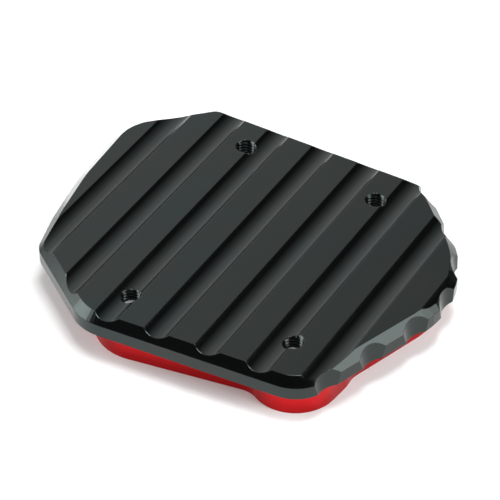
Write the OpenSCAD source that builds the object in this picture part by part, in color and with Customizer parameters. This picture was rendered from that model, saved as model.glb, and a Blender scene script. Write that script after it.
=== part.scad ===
// Kickstand foot enlarger, drawn the way it was photographed: ribbed sole up.
// Lengths are millimetres. Z is up, Y runs along the grooves, X runs across them.
// A black ground plate lies on a red clamp frame. Four countersunk screws come
// up from the frame's face and hold the two together round a stand's foot.

/* [Ground plate] */
// Length of the ground plate, across the grooves
plate_length = 97.5; // [92:0.5:104]
// Width of the ground plate, along the grooves
plate_width = 80.8; // [77:0.2:88]
// Thickness of the ground plate
plate_thick = 5.2; // [3.5:0.1:8]
// Width and height of the bevel round the sole, at 45 degrees
edge_bevel = 2.1; // [0.8:0.1:2.8]
// Distance from one groove to the next
groove_pitch = 12.55; // [9:0.05:16]
// Width of a groove at the sole
groove_width = 6; // [3:0.1:7.5]
// Depth of a groove at its middle
groove_depth = 1.05; // [0.5:0.05:1.8]
// How many grooves cross the sole
groove_count = 8; // [5:1:9]
// Middle of the first groove, from the plate's middle
groove_first = -39; // [-40:0.05:-37]

/* [Scalloped end] */
// Radius of the cutter that makes a scallop
scallop_radius = 6.6; // [6:0.1:12]
// Depth of a scallop where the bevel meets the side
scallop_depth = 1.35; // [0.5:0.05:1.6]
// Taper of the cutter, so that a scallop fades toward the frame
scallop_taper = 10; // [4:1:12]

/* [Clamp frame] */
// Thickness of the clamp frame
frame_thick = 6.8; // [6:0.1:10]
// Thickness of the lip that holds the stand's foot
lip_thick = 2; // [1.2:0.1:3]
// How far the lip reaches in over the foot
lip_reach = 3.5; // [2:0.1:6]
// Length of the pocket for the stand's foot
pocket_length = 56; // [40:1:60]
// Width of the pocket for the stand's foot
pocket_width = 34; // [24:1:38]
// Corner radius of the pocket
pocket_corner = 9; // [5:0.5:14]
// Width of the slot for the stand's leg
leg_slot = 18; // [12:0.5:20]
// Radius of the boss round the front right screw
boss_radius = 10.5; // [8.5:0.1:11.5]
// How far that boss is drawn out along the right side
boss_stretch = 4.4; // [0:0.2:6]
// Radius of the fillets where that boss joins the frame
boss_fillet = 6; // [2:0.5:9]

/* [Screws] */
// Nominal thread diameter of the screws
screw_size = 5; // [4:0.5:6]
// Clearance round a screw in the clamp frame
screw_play = 0.3; // [0.1:0.05:0.6]
// Length of a screw, head included
screw_length = 8.2; // [7.6:0.1:9.6]
// Diameter of a screw's head
head_size = 9.2; // [8:0.1:10]
// Width across the flats of the key socket
key_size = 3; // [2.5:0.5:4]
// Depth of the key socket
key_depth = 1.6; // [1:0.1:2]

/* [Hidden] */
$fn = 64;
slack = 0.5;
total_height = frame_thick + plate_thick;

// Shares of half the plate's length and half its width, turned into millimetres
half_length = plate_length / 2;
half_width = plate_width / 2;
function place(share) = [share[0] * half_length, share[1] * half_width];
function corners(shares) = [for (c = shares) [c[0] * half_length, c[1] * half_width, c[2] * half_width]];

// Corner circles of the ground plate's side: shares for x, y and radius
plate_corners = corners([
    [-0.6195, 0.8762, 0.1238],
    [0.4738, 0.8329, 0.1671],
    [0.4267, 0.1522, 0.6918],
    [0.5826, -0.6559, 0.2475],
    [-0.3303, -0.703, 0.297],
    [-0.7456, -0.5384, 0.1485],
    [-0.4349, -0.2228, 0.5965],
    [-0.3641, 0.1151, 0.7426],
    [-0.7364, 0.4616, 0.3181]
]);

// Corner circles of the clamp frame's side, without the boss: shares for x, y and radius
frame_corners = corners([
    [-0.3733, 0.7129, 0.2104],
    [0.3846, 0.6906, 0.2104],
    [0.6246, 0.1696, 0.3515],
    [0.6185, -0.6535, 0.099],
    [-0.2328, -0.6176, 0.3131],
    [-0.6882, -0.3131, 0.1238],
    [-0.7077, 0.4295, 0.198]
]);

// Screws: shares for x and y
screw_shares = [
    [-0.3713, 0.7376],
    [0.3836, 0.6931],
    [-0.2667, -0.7265],
    [0.5415, -0.5965]
];
screw_places = [for (share = screw_shares) place(share)];

// The boss starts beside the front right screw and runs back along the side
boss_place = screw_places[3] + [0.5, 0.2];
boss_end = boss_place + boss_stretch * [0.1, 1];

// Scallops on the plate's side: shares for x and y, outward direction, share of the depth
scallop_list = [
    [0.7803, -0.7238, -19.5, 0.98],
    [0.8706, -0.4124, -19.2, 0.93],
    [0.96, -0.103, -19.2, 1],
    [0.9992, 0.1881, 3, 1.16],
    [0.9378, 0.4653, 27, 1.23],
    [0.7889, 0.6931, 45.2, 1.07],
    [0.5729, 0.9498, 47, 1.6]
];

// The arc section of a groove, from its width and its depth
groove_radius = (groove_width * groove_width / 4 + groove_depth * groove_depth)
    / (2 * groove_depth);

// How far a scallop's cutter runs past the bevel's foot, up and down
scallop_reach = 2 * plate_thick;

// The countersunk head is a 90 degree cone down to the thread's diameter
head_cone = (head_size - screw_size) / 2;
head_rim = 0.3;

// The pocket sits in the middle of the clamp frame
pocket_middle = [0, 0.5];

// A rounded outline over a list of corner circles, drawn in by an inset
module corner_outline(corners, inset = 0) {
    hull()
        for (c = corners)
            translate([c[0], c[1]])
                circle(r = c[2] - inset, $fn = 72);
}

// The plate with its bevel, before anything is cut
module plate_blank() {
    hull() {
        linear_extrude(height = plate_thick - edge_bevel)
            corner_outline(plate_corners);
        linear_extrude(height = plate_thick)
            corner_outline(plate_corners, edge_bevel);
    }
}

// Grooves of one arc section, from edge to edge along Y
module grooves() {
    for (i = [0 : groove_count - 1])
        translate([groove_first + i * groove_pitch, 0, plate_thick + groove_radius - groove_depth])
            rotate([90, 0, 0])
                cylinder(r = groove_radius, h = 1.5 * plate_width, center = true);
}

// Tapered round cuts into the side, deeper at the bevel than at the frame
module scallops() {
    for (s = scallop_list)
        translate([s[0] * half_length, s[1] * half_width, plate_thick - edge_bevel])
            rotate([0, 0, s[2]])
                translate([scallop_radius - s[3] * scallop_depth, 0, -scallop_reach])
                    cylinder(
                        r1 = scallop_radius - scallop_reach * tan(scallop_taper),
                        r2 = scallop_radius + scallop_reach * tan(scallop_taper),
                        h = 2 * scallop_reach
                    );
}

// Threaded holes, drawn at the thread's nominal diameter
module plate_holes() {
    for (p = screw_places)
        translate([p[0], p[1], -slack])
            cylinder(d = screw_size, h = plate_thick + 2 * slack);
}

// Black ribbed plate that stands on the ground
module ground_plate() {
    color([0.13, 0.14, 0.14])
        translate([0, 0, frame_thick])
            difference() {
                plate_blank();
                grooves();
                scallops();
                plate_holes();
            }
}

// The frame's side: the corner outline with a boss filleted into it
module frame_outline() {
    offset(r = -boss_fillet)
        offset(delta = boss_fillet) {
            corner_outline(frame_corners);
            hull()
                for (place = [boss_place, boss_end])
                    translate(place)
                        circle(r = boss_radius, $fn = 72);
        }
}

// The foot's outline, drawn in by an inset for the lip
module pocket_outline(inset = 0) {
    translate(pocket_middle)
        hull()
            for (sx = [-1, 1], sy = [-1, 1])
                translate([
                    sx * (pocket_length / 2 - pocket_corner),
                    sy * (pocket_width / 2 - pocket_corner)
                ])
                    circle(r = pocket_corner - inset, $fn = 48);
}

// One screw's way through the frame: a clearance hole and a cone for the head
module frame_hole() {
    translate([0, 0, -slack])
        cylinder(d = screw_size + screw_play, h = frame_thick + 2 * slack);
    translate([0, 0, -slack])
        cylinder(d = head_size, h = slack + head_rim);
    translate([0, 0, head_rim])
        cylinder(d1 = head_size, d2 = screw_size, h = head_cone);
}

// Red frame that traps the foot against the ground plate
module clamp_frame() {
    color([0.76, 0.14, 0.16])
        difference() {
            linear_extrude(height = frame_thick)
                frame_outline();
            translate([0, 0, lip_thick])
                linear_extrude(height = frame_thick)
                    pocket_outline();
            translate([0, 0, -slack])
                linear_extrude(height = frame_thick)
                    pocket_outline(lip_reach);
            translate([-leg_slot / 2, 0, -slack])
                cube([leg_slot, plate_width, frame_thick + 2 * slack]);
            for (p = screw_places)
                translate([p[0], p[1], 0])
                    frame_hole();
        }
}

// One countersunk screw, head down, with its key socket
module screw() {
    difference() {
        rotate_extrude()
            polygon([
                [0, 0],
                [head_size / 2, 0],
                [head_size / 2, head_rim],
                [screw_size / 2, head_rim + head_cone],
                [screw_size / 2, screw_length - 0.4],
                [screw_size / 2 - 0.4, screw_length],
                [0, screw_length]
            ]);
        translate([0, 0, -slack])
            cylinder(d = key_size / cos(30), h = key_depth + slack, $fn = 6);
    }
}

// The four screws that clamp the frame to the plate
module clamp_screws() {
    color([0.35, 0.36, 0.37])
        for (p = screw_places)
            translate([p[0], p[1], 0])
                screw();
}

ground_plate();
clamp_frame();
clamp_screws();
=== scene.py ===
# %% [markdown]
# # A kickstand foot enlarger in anodised aluminium
#
# The part is a ribbed black plate that is screwed to a red frame. A motorbike's
# kickstand foot is trapped between the two, and the plate spreads the bike's load on
# soft ground. The solids come ready made and stay as they are. This lesson sets the
# camera and the studio, gives every solid its metal, and cuts the screw threads.
# The camera comes first, because every later choice is judged through it.

from math import cos, pi, radians, sin, sqrt

import bmesh
import bpy
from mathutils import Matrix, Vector


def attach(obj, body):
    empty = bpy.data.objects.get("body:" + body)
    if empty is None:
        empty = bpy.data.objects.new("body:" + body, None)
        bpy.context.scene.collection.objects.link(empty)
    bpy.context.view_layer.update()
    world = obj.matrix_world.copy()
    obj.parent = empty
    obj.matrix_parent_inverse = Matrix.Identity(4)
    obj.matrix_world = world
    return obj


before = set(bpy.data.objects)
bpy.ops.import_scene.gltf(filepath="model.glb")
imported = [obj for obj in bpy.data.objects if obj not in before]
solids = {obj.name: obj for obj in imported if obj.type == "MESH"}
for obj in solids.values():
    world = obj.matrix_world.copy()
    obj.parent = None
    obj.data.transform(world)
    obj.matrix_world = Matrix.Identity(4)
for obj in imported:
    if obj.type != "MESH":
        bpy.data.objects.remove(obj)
scene = bpy.context.scene


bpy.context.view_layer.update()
print("solids:", sorted(solids))

# %% [markdown]
# ## Camera
#
# The grooves of the plate are parallel on the real part, yet they draw together in the
# photograph. How fast they do so gives the camera's height and its focal length. It
# stands 41 degrees above the table, 31 degrees round to the right, and half a metre
# away with a long lens. A camera object is aimed by turning its own minus Z axis, and
# a quaternion does this in one step.

# %% Place the camera
MM = 0.001
LOOK_AT = Vector((2.45, -2.66, 12.0)) * MM
ELEVATION = radians(41.0)
AZIMUTH = radians(30.81)
DISTANCE = 548.3 * MM

to_camera = Vector((
    sin(AZIMUTH) * cos(ELEVATION),
    -cos(AZIMUTH) * cos(ELEVATION),
    sin(ELEVATION),
))
camera = bpy.data.objects.new("camera", bpy.data.cameras.new("camera"))
scene.collection.objects.link(camera)
camera.location = LOOK_AT + to_camera * DISTANCE
camera.rotation_euler = (-to_camera).to_track_quat("-Z", "Y").to_euler()
camera.data.sensor_width = 36.0
camera.data.lens = 170.95
camera.data.clip_start = 0.01
scene.camera = camera
print("camera at", [round(v, 4) for v in camera.location], "lens", camera.data.lens)

# %% [markdown]
# ## Helpers for materials
#
# Colours are written as they are picked on a screen, as sRGB hex values. The shader
# works in linear light, so one function turns the one into the other. A second small
# function adds a node, sets it up and wires it. The rest is spelled out where it is
# used, so that each material can be read from top to bottom. Patterns are laid out in
# millimetres on the object itself, so they keep their real size.

# %% Colour and node helpers
def linear(hex_value):
    """An sRGB hex colour as a linear colour with alpha."""
    channels = [int(hex_value[i:i + 2], 16) / 255 for i in (1, 3, 5)]
    light = [c / 12.92 if c <= 0.04045 else ((c + 0.055) / 1.055) ** 2.4 for c in channels]
    return light + [1.0]


def add_node(tree, kind, values=None, links=None, **settings):
    """Add a node, apply its settings, fill its sockets and link its inputs."""
    node = tree.nodes.new(kind)
    for name, value in settings.items():
        setattr(node, name, value)
    for socket, value in (values or {}).items():
        node.inputs[socket].default_value = value
    for socket, source in (links or {}).items():
        tree.links.new(source, node.inputs[socket])
    return node


def new_material(name):
    """An empty node material and its tree."""
    material = bpy.data.materials.new(name)
    material.use_nodes = True
    material.node_tree.nodes.clear()
    return material, material.node_tree


print("black anodising in linear light:", [round(c, 4) for c in linear("#373f40")])

# %% [markdown]
# ## Black anodised aluminium
#
# The plate is milled, etched and then anodised: an acid bath grows a hard layer of
# oxide, and a black dye fills its pores. What is left is a dark mirror with a soft
# blur. It has hardly any colour of its own, so it shows what stands round it. A metal
# shader with a dark colour gives this. The dye is never quite even, so the colour
# drifts between a cool and a warm black over about 20 mm. The etch leaves a grain of
# about a tenth of a millimetre. That is finer than a pixel here, so it is drawn at
# 0.4 mm to show at all. The mill leaves fine lines along the grooves, half a
# millimetre apart. Sharp edges are broken on the real part, and a bevel node with a
# radius of 0.25 mm lets them catch the light. A thread's ridges are no wider than that,
# so the tapped holes get a second copy with a far smaller radius.

# %% Black anodised aluminium
BROKEN_EDGE = 0.25 * MM
THREAD_EDGE = 0.02 * MM
RELIEF = {"Strength": 0.10, "Distance": 0.02 * MM}
# Sizes of the patterns in mm
BLACK_DRIFT = 20.0
GRAIN = 0.4
LINE_STEP = 0.5
LINE_LENGTH = 20.0


def black_anodised(name, edge_radius):
    """A dark mirror with a soft blur, on edges broken to a radius."""
    material, tree = new_material(name)
    place = add_node(tree, "ShaderNodeTexCoord").outputs["Object"]
    in_mm = add_node(tree, "ShaderNodeVectorMath", {"Scale": 1 / MM}, {0: place},
                     operation="SCALE").outputs["Vector"]
    dye = add_node(tree, "ShaderNodeTexNoise", {"Scale": 1 / BLACK_DRIFT, "Detail": 2.0},
                   {"Vector": in_mm})
    colour = add_node(tree, "ShaderNodeMix",
                      {"A": linear("#373f40"), "B": linear("#3d403d")},
                      {"Factor": dye.outputs["Fac"]}, data_type="RGBA")
    grain = add_node(tree, "ShaderNodeTexNoise", {"Scale": 1 / GRAIN, "Detail": 3.0},
                     {"Vector": in_mm})
    blur = add_node(tree, "ShaderNodeMapRange", {"To Min": 0.14, "To Max": 0.20},
                    {"Value": grain.outputs["Fac"]})
    along = add_node(tree, "ShaderNodeMapping",
                     {"Scale": (1 / LINE_STEP, 1 / LINE_LENGTH, 1 / LINE_STEP)},
                     {"Vector": in_mm})
    lines = add_node(tree, "ShaderNodeTexNoise", {"Scale": 1.0, "Detail": 2.0},
                     {"Vector": along.outputs["Vector"]})
    edges = add_node(tree, "ShaderNodeBevel", {"Radius": edge_radius}, samples=6)
    etched = add_node(tree, "ShaderNodeBump", RELIEF,
                      {"Height": grain.outputs["Fac"], "Normal": edges.outputs["Normal"]})
    milled = add_node(tree, "ShaderNodeBump", RELIEF,
                      {"Height": lines.outputs["Fac"], "Normal": etched.outputs["Normal"]})
    metal = add_node(tree, "ShaderNodeBsdfPrincipled", {"Metallic": 1.0},
                     {"Base Color": colour.outputs["Result"],
                      "Roughness": blur.outputs["Result"],
                      "Normal": milled.outputs["Normal"]})
    add_node(tree, "ShaderNodeOutputMaterial", links={"Surface": metal.outputs["BSDF"]})
    return material


black = black_anodised("aluminium_anodised_black", BROKEN_EDGE)
tapped = black_anodised("aluminium_anodised_black_tapped", THREAD_EDGE)
print("materials:", black.name, "and", tapped.name)
print("nodes in each:", len(black.node_tree.nodes))

# %% [markdown]
# ## Red anodised aluminium
#
# The frame is the same metal with a red dye. The oxide is clear, so light passes the
# dye, meets bright aluminium and comes back through the dye. The colour is deep and
# shines like metal, and it throws a pink glow on a white table. The build is like that
# of the black, without the etched grain. The mill's lines run round the wall, a third
# of a millimetre apart, and the dye drifts over 12 mm.

# %% Red anodised aluminium
RED_DRIFT = 12.0
LAYER_LENGTH = 10.0
LAYERS_PER_MM = 3.0


def red_anodised():
    """A red metal with more blur than the black one."""
    material, tree = new_material("aluminium_anodised_red")
    place = add_node(tree, "ShaderNodeTexCoord").outputs["Object"]
    in_mm = add_node(tree, "ShaderNodeVectorMath", {"Scale": 1 / MM}, {0: place},
                     operation="SCALE").outputs["Vector"]
    dye = add_node(tree, "ShaderNodeTexNoise", {"Scale": 1 / RED_DRIFT, "Detail": 2.0},
                   {"Vector": in_mm})
    colour = add_node(tree, "ShaderNodeMix",
                      {"A": linear("#b81c20"), "B": linear("#c22326")},
                      {"Factor": dye.outputs["Fac"]}, data_type="RGBA")
    layers = add_node(tree, "ShaderNodeMapping",
                      {"Scale": (1 / LAYER_LENGTH, 1 / LAYER_LENGTH, LAYERS_PER_MM)},
                      {"Vector": in_mm})
    lines = add_node(tree, "ShaderNodeTexNoise", {"Scale": 1.0, "Detail": 2.0},
                     {"Vector": layers.outputs["Vector"]})
    blur = add_node(tree, "ShaderNodeMapRange", {"To Min": 0.30, "To Max": 0.38},
                    {"Value": lines.outputs["Fac"]})
    edges = add_node(tree, "ShaderNodeBevel", {"Radius": BROKEN_EDGE}, samples=6)
    milled = add_node(tree, "ShaderNodeBump", RELIEF,
                      {"Height": lines.outputs["Fac"], "Normal": edges.outputs["Normal"]})
    metal = add_node(tree, "ShaderNodeBsdfPrincipled", {"Metallic": 1.0},
                     {"Base Color": colour.outputs["Result"],
                      "Roughness": blur.outputs["Result"],
                      "Normal": milled.outputs["Normal"]})
    add_node(tree, "ShaderNodeOutputMaterial", links={"Surface": metal.outputs["BSDF"]})
    return material


red = red_anodised()
print("material:", red.name, len(red.node_tree.nodes), "nodes")

# %% [markdown]
# ## Stainless steel
#
# The screws are stainless steel. Their ends are rolled or sheared and left dull. In the
# photograph one of them shows as a pale patch at the bottom of the front left hole. So
# the finish is a grey metal with a strong blur that varies a little from spot to spot.

# %% Stainless steel
SPOTS_PER_MM = 1.5


def stainless_steel():
    """A grey metal, blurred and a little spotty."""
    material, tree = new_material("steel_stainless")
    place = add_node(tree, "ShaderNodeTexCoord").outputs["Object"]
    in_mm = add_node(tree, "ShaderNodeVectorMath", {"Scale": 1 / MM}, {0: place},
                     operation="SCALE").outputs["Vector"]
    spots = add_node(tree, "ShaderNodeTexNoise", {"Scale": SPOTS_PER_MM, "Detail": 3.0},
                     {"Vector": in_mm})
    colour = add_node(tree, "ShaderNodeMix",
                      {"A": linear("#b3b8b6"), "B": linear("#c0c5c3")},
                      {"Factor": spots.outputs["Fac"]}, data_type="RGBA")
    blur = add_node(tree, "ShaderNodeMapRange", {"To Min": 0.50, "To Max": 0.65},
                    {"Value": spots.outputs["Fac"]})
    metal = add_node(tree, "ShaderNodeBsdfPrincipled", {"Metallic": 1.0},
                     {"Base Color": colour.outputs["Result"],
                      "Roughness": blur.outputs["Result"]})
    add_node(tree, "ShaderNodeOutputMaterial", links={"Surface": metal.outputs["BSDF"]})
    return material


steel = stainless_steel()
print("material:", steel.name, len(steel.node_tree.nodes), "nodes")

# %% [markdown]
# ## Dressing the solids
#
# Each solid keeps its mesh. Only the material in its slots is exchanged, which leaves
# the shape and its place exactly as they were made.

# %% Dress the solids
METALS = {"ground_plate": black, "clamp_frame": red, "clamp_screws": steel}
for name, metal in METALS.items():
    solids[name].data.materials.clear()
    solids[name].data.materials.append(metal)
    print(name, "wears", metal.name)

# %% [markdown]
# ## The sole above each hole
#
# The plate has four tapped holes, open on the sole. Each of them breaks into a groove,
# so its rim isn't level. The thread in a hole has to stop where the metal stops. A ray
# cast down on the plate could find that height, but the groove is a plain arc, so its
# height is worked out from the arc's radius.

# %% The sole above each hole
# All in mm
SOLE = 12.0
BORE_RADIUS = 2.5
GROOVE_PITCH = 12.55
GROOVE_FIRST = -39.0
GROOVE_WIDTH = 6.0
GROOVE_DEPTH = 1.05
GROOVE_RADIUS = (GROOVE_WIDTH ** 2 / 4 + GROOVE_DEPTH ** 2) / (2 * GROOVE_DEPTH)
HOLES = [(-18.1, 29.8), (18.7, 28.0), (-13.0, -29.35), (26.4, -24.1)]


def sole_height(x):
    """Height in mm of the ribbed sole at a place across the grooves."""
    nearest = GROOVE_FIRST + round((x - GROOVE_FIRST) / GROOVE_PITCH) * GROOVE_PITCH
    away = abs(x - nearest)
    if away >= GROOVE_WIDTH / 2:
        return SOLE
    return SOLE + GROOVE_RADIUS - GROOVE_DEPTH - sqrt(GROOVE_RADIUS ** 2 - away ** 2)


for hole_x, _ in HOLES:
    rims = [sole_height(hole_x + side) for side in (-BORE_RADIUS, BORE_RADIUS)]
    print("hole at x", hole_x, "has its left and right rim at", [round(z, 2) for z in rims])

# %% [markdown]
# ## Screw threads
#
# A tap leaves a ridge of metal that winds down the hole, 0.8 mm per turn in an M5
# thread. The solid's bore is as wide as the thread at its roots. So the ridge is a thin
# sleeve that lines the bore: smooth outside, and winding in and out inside. Its outside
# lies 0.02 mm within the metal, so that no gap shows. A screw modifier could make the
# ridge, but it can't end at a curved groove. Here each sleeve is a grid of columns round
# the axis. Every column takes the thread's height from its angle and stops at the
# surface above it.

# %% Screw threads
# Heights and radii in mm
SCREW_TIP = 8.2
THREAD_PITCH = 0.8
ROOT_RADIUS = 2.46
CREST_RADIUS = 2.07
OUTER_RADIUS = 2.52
TIP_GAP = 0.1
SOLE_GAP = 0.02
COLUMNS = 90
# More turns than fit: what lies past an end is pressed flat there and welded
TURNS = 8
WELD = 0.001 * MM
# One turn of the ridge from below: how far along the pitch, and at what radius
RIDGE = [
    (0.0, ROOT_RADIUS), (0.375, CREST_RADIUS), (0.625, CREST_RADIUS), (1.0, ROOT_RADIUS),
]


def ridge_radius(height, angle, top):
    """Radius of the threaded wall, which opens out in its last 0.4 mm below the sole."""
    phase = (height / THREAD_PITCH - angle / (2 * pi)) % 1.0
    for (a, ra), (b, rb) in zip(RIDGE, RIDGE[1:]):
        if phase <= b:
            radius = ra + (rb - ra) * (phase - a) / (b - a)
            break
    return max(radius, ROOT_RADIUS - (top - height))


def thread_column(x, y, angle):
    """The wall's closed loop of points at one angle, from the screw's tip to the sole."""
    out = Vector((cos(angle), sin(angle)))
    bottom = SCREW_TIP + TIP_GAP
    top = sole_height(x + BORE_RADIUS * out.x) - SOLE_GAP
    first_turn = int(bottom / THREAD_PITCH) - 1
    heights = [bottom]
    for turn in range(first_turn, first_turn + TURNS):
        for share, _ in RIDGE[:-1]:
            at = (turn + share + angle / (2 * pi)) * THREAD_PITCH
            heights.append(min(max(at, bottom), top))
    heights.append(top)
    loop = [(OUTER_RADIUS, bottom)] + [(ridge_radius(h, angle, top), h) for h in heights]
    loop.append((OUTER_RADIUS, top))
    return [Vector((x + r * out.x, y + r * out.y, h)) * MM for r, h in loop]


def thread_sleeve(name, x, y):
    """A closed sleeve with an inner thread. The first and last columns are welded."""
    columns = [thread_column(x, y, 2 * pi * i / COLUMNS) for i in range(COLUMNS + 1)]
    rows = len(columns[0])
    work = bmesh.new()
    grid = [[work.verts.new(point) for point in column] for column in columns]
    for left, right in zip(grid, grid[1:]):
        for row in range(rows):
            above = (row + 1) % rows
            work.faces.new((left[row], right[row], right[above], left[above]))
    bmesh.ops.remove_doubles(work, verts=work.verts, dist=WELD)
    bmesh.ops.recalc_face_normals(work, faces=work.faces)
    open_edges = sum(not edge.is_manifold for edge in work.edges)
    mesh = bpy.data.meshes.new(name)
    work.to_mesh(mesh)
    work.free()
    sleeve = bpy.data.objects.new(name, mesh)
    mesh.materials.append(tapped)
    scene.collection.objects.link(sleeve)
    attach(sleeve, "root")
    print(name, "faces:", len(mesh.polygons), "open edges:", open_edges)


for number, (x, y) in enumerate(HOLES, start=1):
    thread_sleeve(f"thread_{number}", x, y)

# %% [markdown]
# ## Floor
#
# The part stands on white paper. The paper is a plain diffuse surface, so that it takes
# the part's shadow. Where it is looked at, straight or in a reflection, it also glows a
# little, so that it comes out white. The glow lights nothing.

# %% Floor
FLOOR_HALF = 3.0
FLOOR_DROP = 0.02 * MM
FLOOR_LIFT = 0.10
WHITE = linear("#ffffff")


def looked_at(tree):
    """1 for the rays of the camera, of reflections and of clear things, else 0."""
    rays = add_node(tree, "ShaderNodeLightPath")
    mask = rays.outputs["Is Camera Ray"]
    for kind in ("Is Glossy Ray", "Is Transmission Ray"):
        mask = add_node(tree, "ShaderNodeMath", None, {0: mask, 1: rays.outputs[kind]},
                        operation="MAXIMUM").outputs[0]
    return mask


def floor_material():
    """White paper that looks a little lighter than the lamps make it."""
    material, tree = new_material("white_paper")
    paper = add_node(tree, "ShaderNodeBsdfDiffuse", {"Color": linear("#f4f4f4")})
    amount = add_node(tree, "ShaderNodeMath", {1: FLOOR_LIFT}, {0: looked_at(tree)},
                      operation="MULTIPLY")
    lift = add_node(tree, "ShaderNodeEmission", {"Color": WHITE},
                    {"Strength": amount.outputs[0]})
    both = add_node(tree, "ShaderNodeAddShader", None,
                    {0: paper.outputs["BSDF"], 1: lift.outputs["Emission"]})
    add_node(tree, "ShaderNodeOutputMaterial", links={"Surface": both.outputs[0]})
    return material


def rectangle(half_width, half_height):
    """Corners of a rectangle round the origin, in the XY plane."""
    w, h = half_width, half_height
    return [(-w, -h, 0), (w, -h, 0), (w, h, 0), (-w, h, 0)]


floor_mesh = bpy.data.meshes.new("floor")
floor_mesh.from_pydata(rectangle(FLOOR_HALF, FLOOR_HALF), [], [(0, 1, 2, 3)])
floor = bpy.data.objects.new("floor", floor_mesh)
floor.location.z = -FLOOR_DROP
floor.data.materials.append(floor_material())
scene.collection.objects.link(floor)
print("floor:", 2 * FLOOR_HALF, "m wide,", FLOOR_DROP / MM, "mm below the part")

# %% [markdown]
# ## World
#
# A dark mirror is lit by what it reflects, not by lamps. So the world is white wherever
# it is looked at. As a lamp it is far weaker, or the shadow on the floor would be lost.

# %% World
AMBIENT = 0.24

world = bpy.data.worlds.new("studio")
scene.world = world
world.use_nodes = True
sky = world.node_tree
sky.nodes.clear()
ambient = add_node(sky, "ShaderNodeBackground", {"Color": WHITE, "Strength": AMBIENT})
white = add_node(sky, "ShaderNodeBackground", {"Color": WHITE, "Strength": 1.0})
mixed = add_node(sky, "ShaderNodeMixShader", None,
                 {0: looked_at(sky), 1: ambient.outputs[0], 2: white.outputs[0]})
add_node(sky, "ShaderNodeOutputWorld", links={"Surface": mixed.outputs[0]})
print("world: 1.0 where it is looked at,", AMBIENT, "as a lamp")

# %% [markdown]
# ## Softboxes
#
# The bevels at the right end and at the left corner each mirror a softbox. A softbox
# above the part lights the screw's end in the front left hole. Together with a low one
# on the right, which is kept out of the reflections, it makes the narrow shadow on the
# floor, deepest in front and faint on the right. Places are given as an azimuth, an
# elevation and a distance, then come width, height and brightness.

# %% Softboxes
def face_the_part(thing, azimuth, elevation, distance):
    """Place a lamp or a card: azimuth 0 is +X, 90 is +Y, 270 is the front."""
    a, e = radians(azimuth), radians(elevation)
    away = Vector((cos(a) * cos(e), sin(a) * cos(e), sin(e)))
    thing.location = LOOK_AT + away * distance
    thing.rotation_euler = away.to_track_quat("Z", "Y").to_euler()


def softbox(name, azimuth, elevation, distance, width, height, brightness):
    """An area lamp that faces the part. A brightness of 1 is white."""
    lamp = bpy.data.lights.new(name, "AREA")
    lamp.shape = "RECTANGLE"
    lamp.size, lamp.size_y = width, height
    lamp.energy = brightness * pi * width * height
    holder = bpy.data.objects.new(name, lamp)
    face_the_part(holder, azimuth, elevation, distance)
    holder.visible_camera = False
    scene.collection.objects.link(holder)
    print(name, "gives", round(lamp.energy, 2), "W")
    return holder


softbox("softbox_right", 21, 33, 0.9, 0.5, 0.5, 3.2)
softbox("softbox_left", 208, 24, 0.6, 0.34, 0.5, 4.0)
softbox("softbox_above", 60, 85, 1.2, 0.4, 0.4, 18.0)
low = softbox("softbox_low", 5, 20, 1.0, 0.4, 0.3, 20.0)
low.visible_glossy = False

# %% [markdown]
# ## Cards in the reflections
#
# In the photograph a groove goes from black on its left side to light grey on its right,
# because its round wall mirrors one direction after another. So a card stands behind the
# part that fades from black to white. The bevel along the front and round the right
# corner mirrors two more black cards. A bright sheet lies on the floor behind the left
# edge, and the bevel above it turns white. All four show in reflections only.

# %% Cards in the reflections
BLACK_PAINT = 0.06
SHEET_GLOW = 2.2
# Metres: the sheet lies half a millimetre above the floor
SHEET = [
    (-0.110, 0.008, 0.0005), (-0.056, 0.008, 0.0005),
    (-0.056, 0.070, 0.0005), (-0.110, 0.070, 0.0005),
]


def mirror_only(name, corners, paint):
    """A card that only reflections see. Its paint maps X to a strength, 1 for white."""
    mesh = bpy.data.meshes.new(name)
    mesh.from_pydata(corners, [], [(0, 1, 2, 3)])
    card = bpy.data.objects.new(name, mesh)
    material, tree = new_material(name)
    place = add_node(tree, "ShaderNodeTexCoord").outputs["Object"]
    across = add_node(tree, "ShaderNodeSeparateXYZ", links={"Vector": place}).outputs["X"]
    strength = add_node(tree, "ShaderNodeMapRange", paint, {"Value": across})
    glow = add_node(tree, "ShaderNodeEmission", {"Color": WHITE},
                    {"Strength": strength.outputs["Result"]})
    add_node(tree, "ShaderNodeOutputMaterial", links={"Surface": glow.outputs[0]})
    mesh.materials.append(material)
    card.visible_camera = False
    card.visible_diffuse = False
    card.visible_shadow = False
    card.visible_transmission = False
    scene.collection.objects.link(card)
    return card


def black_card(name, azimuth, elevation, distance, width, height, fade):
    """A card that faces the part and fades from black at fade[0] to white at fade[1]."""
    paint = {"From Min": fade[0], "From Max": fade[1], "To Min": BLACK_PAINT, "To Max": 1.0}
    card = mirror_only(name, rectangle(width / 2, height / 2), paint)
    face_the_part(card, azimuth, elevation, distance)
    print(name, "stands at", [round(v, 2) for v in card.location])


black_card("card_behind", 72, 38, 1.1, 2.0, 1.7, (-0.05, 0.95))
black_card("card_front", 245, 45, 1.1, 1.7, 1.2, (-0.15, -0.6))
# This one's fade begins past its edge, so it is black all over
black_card("card_right", 322, 50, 1.1, 1.0, 0.7, (2.0, 3.0))
mirror_only("bright_sheet", SHEET, {"To Min": SHEET_GLOW, "To Max": SHEET_GLOW})
print("bright sheet glows at", SHEET_GLOW)

# %% [markdown]
# ## Finish
#
# The colours are shown as they are, with no film curve.

# %% Finish
scene.view_settings.view_transform = "Standard"
